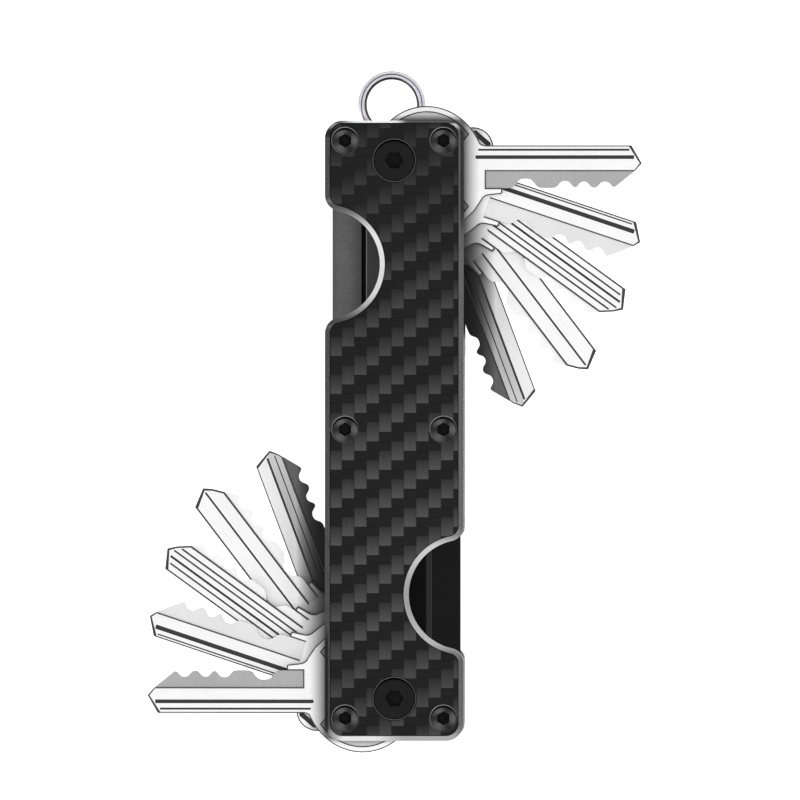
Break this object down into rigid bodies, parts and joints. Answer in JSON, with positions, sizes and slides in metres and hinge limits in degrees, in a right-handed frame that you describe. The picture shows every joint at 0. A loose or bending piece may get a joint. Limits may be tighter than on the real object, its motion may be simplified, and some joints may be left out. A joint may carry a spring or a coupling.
{
  "type": "key organiser",
  "caption": "Pocket key organiser: keys fan out from a pivot at each end of a framed carbon-fibre body with thumb notches and a small split ring.",
  "frame": {"origin": "middle of the flat back face, midway between the two pivots", "axes": "+Z through the thickness from the back to the front cover, +Y along the body towards the split ring, +X towards the side where the upper keys fan out"},
  "size_m": [0.0892, 0.1229, 0.0186],
  "materials": {
    "carbon_cover": "satin clear coat over two-by-two twill carbon fibre",
    "frame": "satin, dark anodised, with a bright chamfered rim",
    "liner": "fine-grained matt dark grey",
    "cover_screw": "black oxide, turned face",
    "pivot_steel": "black oxide, faintly turned face",
    "key_nickel": "bright nickel plate, milled bitting in satin grey",
    "washer": "ground",
    "ring_steel": "polished spring steel"
  },
  "bodies": {
    "housing": {"front_frame": "frame", "front_cover": "carbon_cover", "rear_frame": "frame", "rear_cover": "carbon_cover", "rear_liner": "liner", "side_stop_left": "liner", "side_stop_right": "liner", "front_cover_screw_1": "cover_screw", "front_cover_screw_2": "cover_screw", "front_cover_screw_3": "cover_screw", "front_cover_screw_4": "cover_screw", "front_cover_screw_5": "cover_screw", "front_cover_screw_6": "cover_screw", "rear_cover_screw_1": "cover_screw", "rear_cover_screw_2": "cover_screw", "rear_cover_screw_3": "cover_screw", "rear_cover_screw_4": "cover_screw", "rear_cover_screw_5": "cover_screw", "rear_cover_screw_6": "cover_screw", "top_pivot_barrel": "pivot_steel", "top_pivot_screw": "pivot_steel", "top_washer_1": "washer", "top_washer_2": "washer", "top_washer_3": "washer", "top_washer_4": "washer", "top_washer_5": "washer", "top_washer_6": "washer", "top_pivot_spacer": "washer", "bottom_pivot_barrel": "pivot_steel", "bottom_pivot_screw": "pivot_steel", "bottom_washer_1": "washer", "bottom_washer_2": "washer", "bottom_washer_3": "washer", "bottom_washer_4": "washer", "bottom_washer_5": "washer", "bottom_washer_6": "washer", "bottom_pivot_spacer": "washer", "ring_post": "washer", "ring_keeper": "washer"},
    "top_key_1": {"top_key_1": "key_nickel"},
    "top_key_2": {"top_key_2": "key_nickel"},
    "top_key_3": {"top_key_3": "key_nickel"},
    "top_key_4": {"top_key_4": "key_nickel"},
    "top_key_5": {"top_key_5": "key_nickel"},
    "bottom_key_1": {"bottom_key_1": "key_nickel"},
    "bottom_key_2": {"bottom_key_2": "key_nickel"},
    "bottom_key_3": {"bottom_key_3": "key_nickel"},
    "bottom_key_4": {"bottom_key_4": "key_nickel"},
    "bottom_key_5": {"bottom_key_5": "key_nickel"},
    "split_ring": {"split_ring": "ring_steel"}
  },
  "joints": [
    {"name": "top_key_1_swing", "type": "hinge", "parent": "housing", "child": "top_key_1", "pos_m": [0, 0.04845, 0.0154], "axis": [0, 0, 1], "range_deg": [-90, 90]},
    {"name": "top_key_2_swing", "type": "hinge", "parent": "housing", "child": "top_key_2", "pos_m": [0, 0.04845, 0.0131], "axis": [0, 0, 1], "range_deg": [-71.5, 108.5]},
    {"name": "top_key_3_swing", "type": "hinge", "parent": "housing", "child": "top_key_3", "pos_m": [0, 0.04845, 0.0108], "axis": [0, 0, 1], "range_deg": [-54, 126]},
    {"name": "top_key_4_swing", "type": "hinge", "parent": "housing", "child": "top_key_4", "pos_m": [0, 0.04845, 0.0085], "axis": [0, 0, 1], "range_deg": [-37.3, 142.7]},
    {"name": "top_key_5_swing", "type": "hinge", "parent": "housing", "child": "top_key_5", "pos_m": [0, 0.04845, 0.0062], "axis": [0, 0, 1], "range_deg": [-20.5, 159.5]},
    {"name": "bottom_key_1_swing", "type": "hinge", "parent": "housing", "child": "bottom_key_1", "pos_m": [0, -0.04845, 0.0154], "axis": [0, 0, 1], "range_deg": [-90, 90]},
    {"name": "bottom_key_2_swing", "type": "hinge", "parent": "housing", "child": "bottom_key_2", "pos_m": [0, -0.04845, 0.0131], "axis": [0, 0, 1], "range_deg": [-71.5, 108.5]},
    {"name": "bottom_key_3_swing", "type": "hinge", "parent": "housing", "child": "bottom_key_3", "pos_m": [0, -0.04845, 0.0108], "axis": [0, 0, 1], "range_deg": [-54, 126]},
    {"name": "bottom_key_4_swing", "type": "hinge", "parent": "housing", "child": "bottom_key_4", "pos_m": [0, -0.04845, 0.0085], "axis": [0, 0, 1], "range_deg": [-37.3, 142.7]},
    {"name": "bottom_key_5_swing", "type": "hinge", "parent": "housing", "child": "bottom_key_5", "pos_m": [0, -0.04845, 0.0062], "axis": [0, 0, 1], "range_deg": [-20.5, 159.5]},
    {"name": "split_ring_swing", "type": "hinge", "parent": "housing", "child": "split_ring", "pos_m": [-0.00082, 0.0548, 0.00345], "axis": [0, 0, 1], "range_deg": [-38, 38]}
  ]
}
